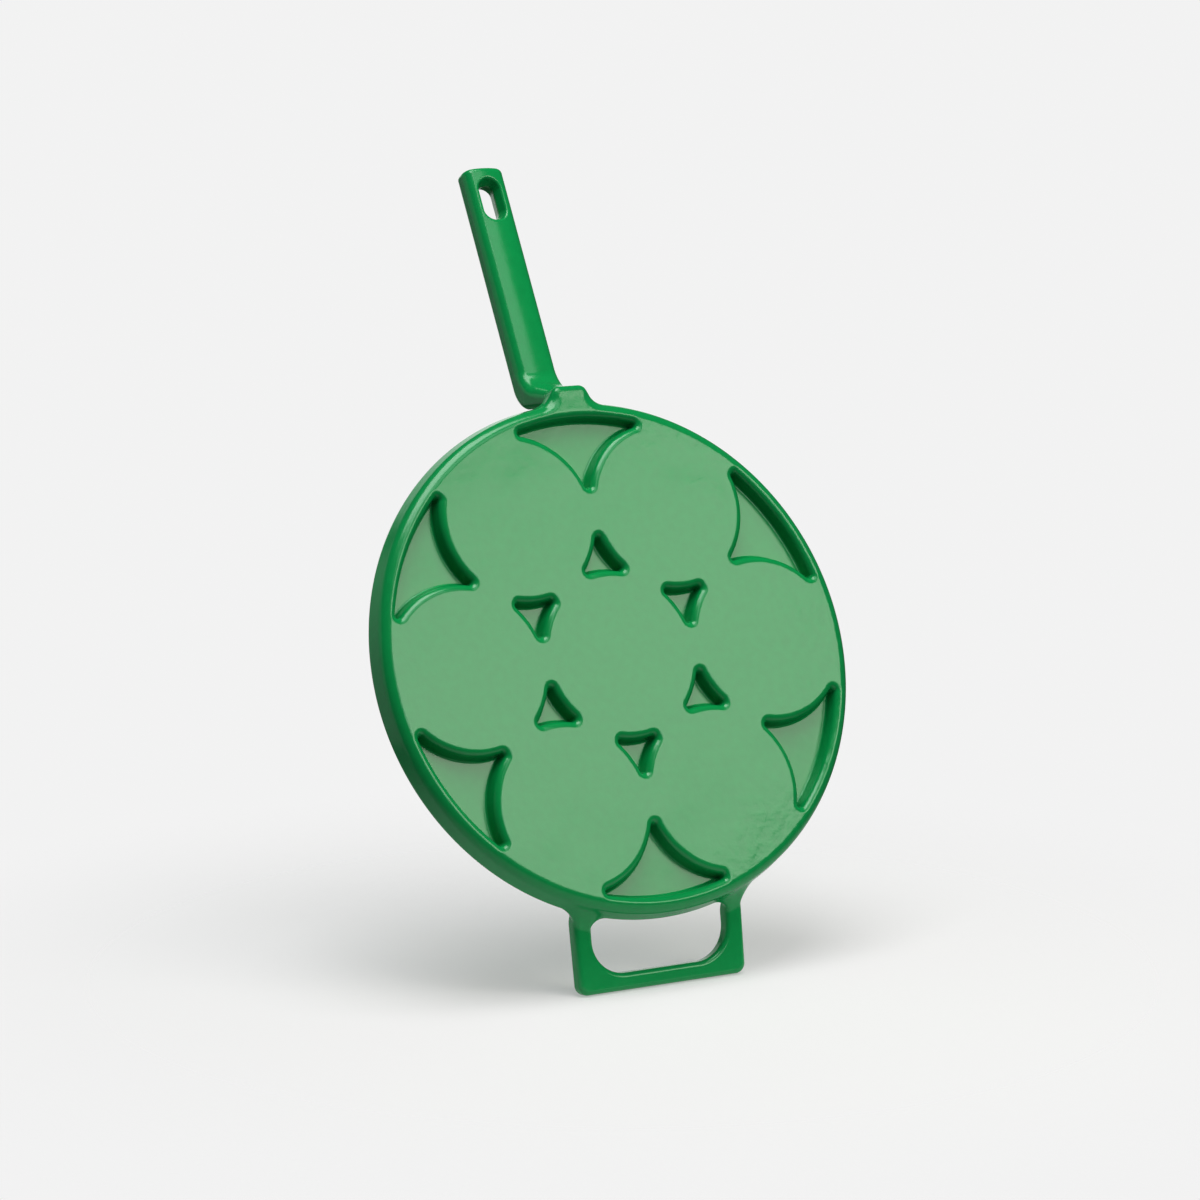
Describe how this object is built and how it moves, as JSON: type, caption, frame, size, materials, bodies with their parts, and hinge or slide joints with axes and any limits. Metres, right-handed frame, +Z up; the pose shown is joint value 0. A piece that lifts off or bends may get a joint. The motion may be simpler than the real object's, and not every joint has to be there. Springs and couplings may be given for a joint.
{
  "type": "pancake pan",
  "caption": "Enamelled cast iron pancake pan with round wells, a long handle with a hanging slot and a helper handle.",
  "frame": {"origin": "middle of the flat underside, on the surface that the pan stands on", "axes": "+Z up, through the cooking side; +X towards the long handle; the helper handle is on -X"},
  "size_m": [0.4268, 0.26, 0.0559],
  "materials": {
    "enamel": "glossy green vitreous enamel"
  },
  "bodies": {
    "root": {"well_plate": "enamel", "rim": "enamel", "handle_tab": "enamel", "handle_neck": "enamel", "long_handle": "enamel", "helper_handle": "enamel"}
  },
  "joints": []
}
